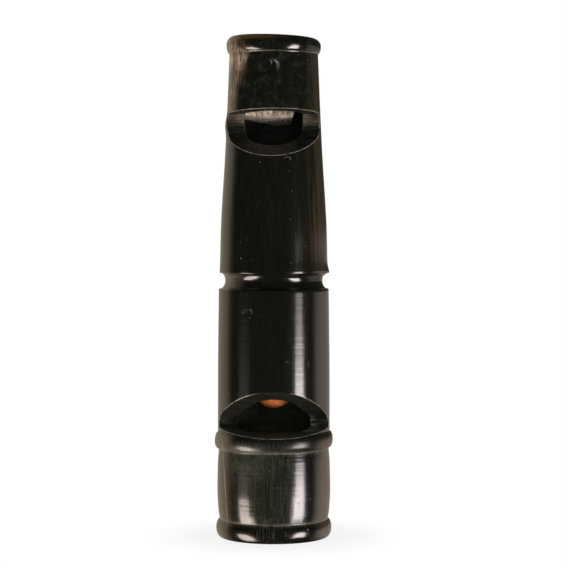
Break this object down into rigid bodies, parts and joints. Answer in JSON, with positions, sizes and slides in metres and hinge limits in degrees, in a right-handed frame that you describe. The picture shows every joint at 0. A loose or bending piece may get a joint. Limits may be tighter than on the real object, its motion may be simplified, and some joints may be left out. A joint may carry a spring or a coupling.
{
  "type": "dog whistle",
  "caption": "Double-ended dog whistle turned from black horn: a plain whistle at the slim end, a trilling whistle with a loose cork pea at the wide end, a lanyard groove between them.",
  "frame": {"origin": "centre of the flat mouth of the wide pea end, on which the whistle stands", "axes": "+Z along the turned axis towards the slim mouth, -Y out of the voicing windows"},
  "size_m": [0.02, 0.02, 0.085],
  "materials": {
    "horn": "polished black horn with brown streaks",
    "plug_wood": "bare, sawn",
    "stained_wood": "dark with use",
    "cork": "bare cork, orange"
  },
  "bodies": {
    "whistle": {"horn_body": "horn", "plain_end_plug": "plug_wood", "pea_end_plug": "stained_wood"},
    "pea": {"cork_pea": "cork"}
  },
  "joints": [
    {"name": "pea_travel", "type": "slide", "parent": "whistle", "child": "pea", "axis": [0, 0, 1], "range_m": [-0.004, 0.008]}
  ]
}
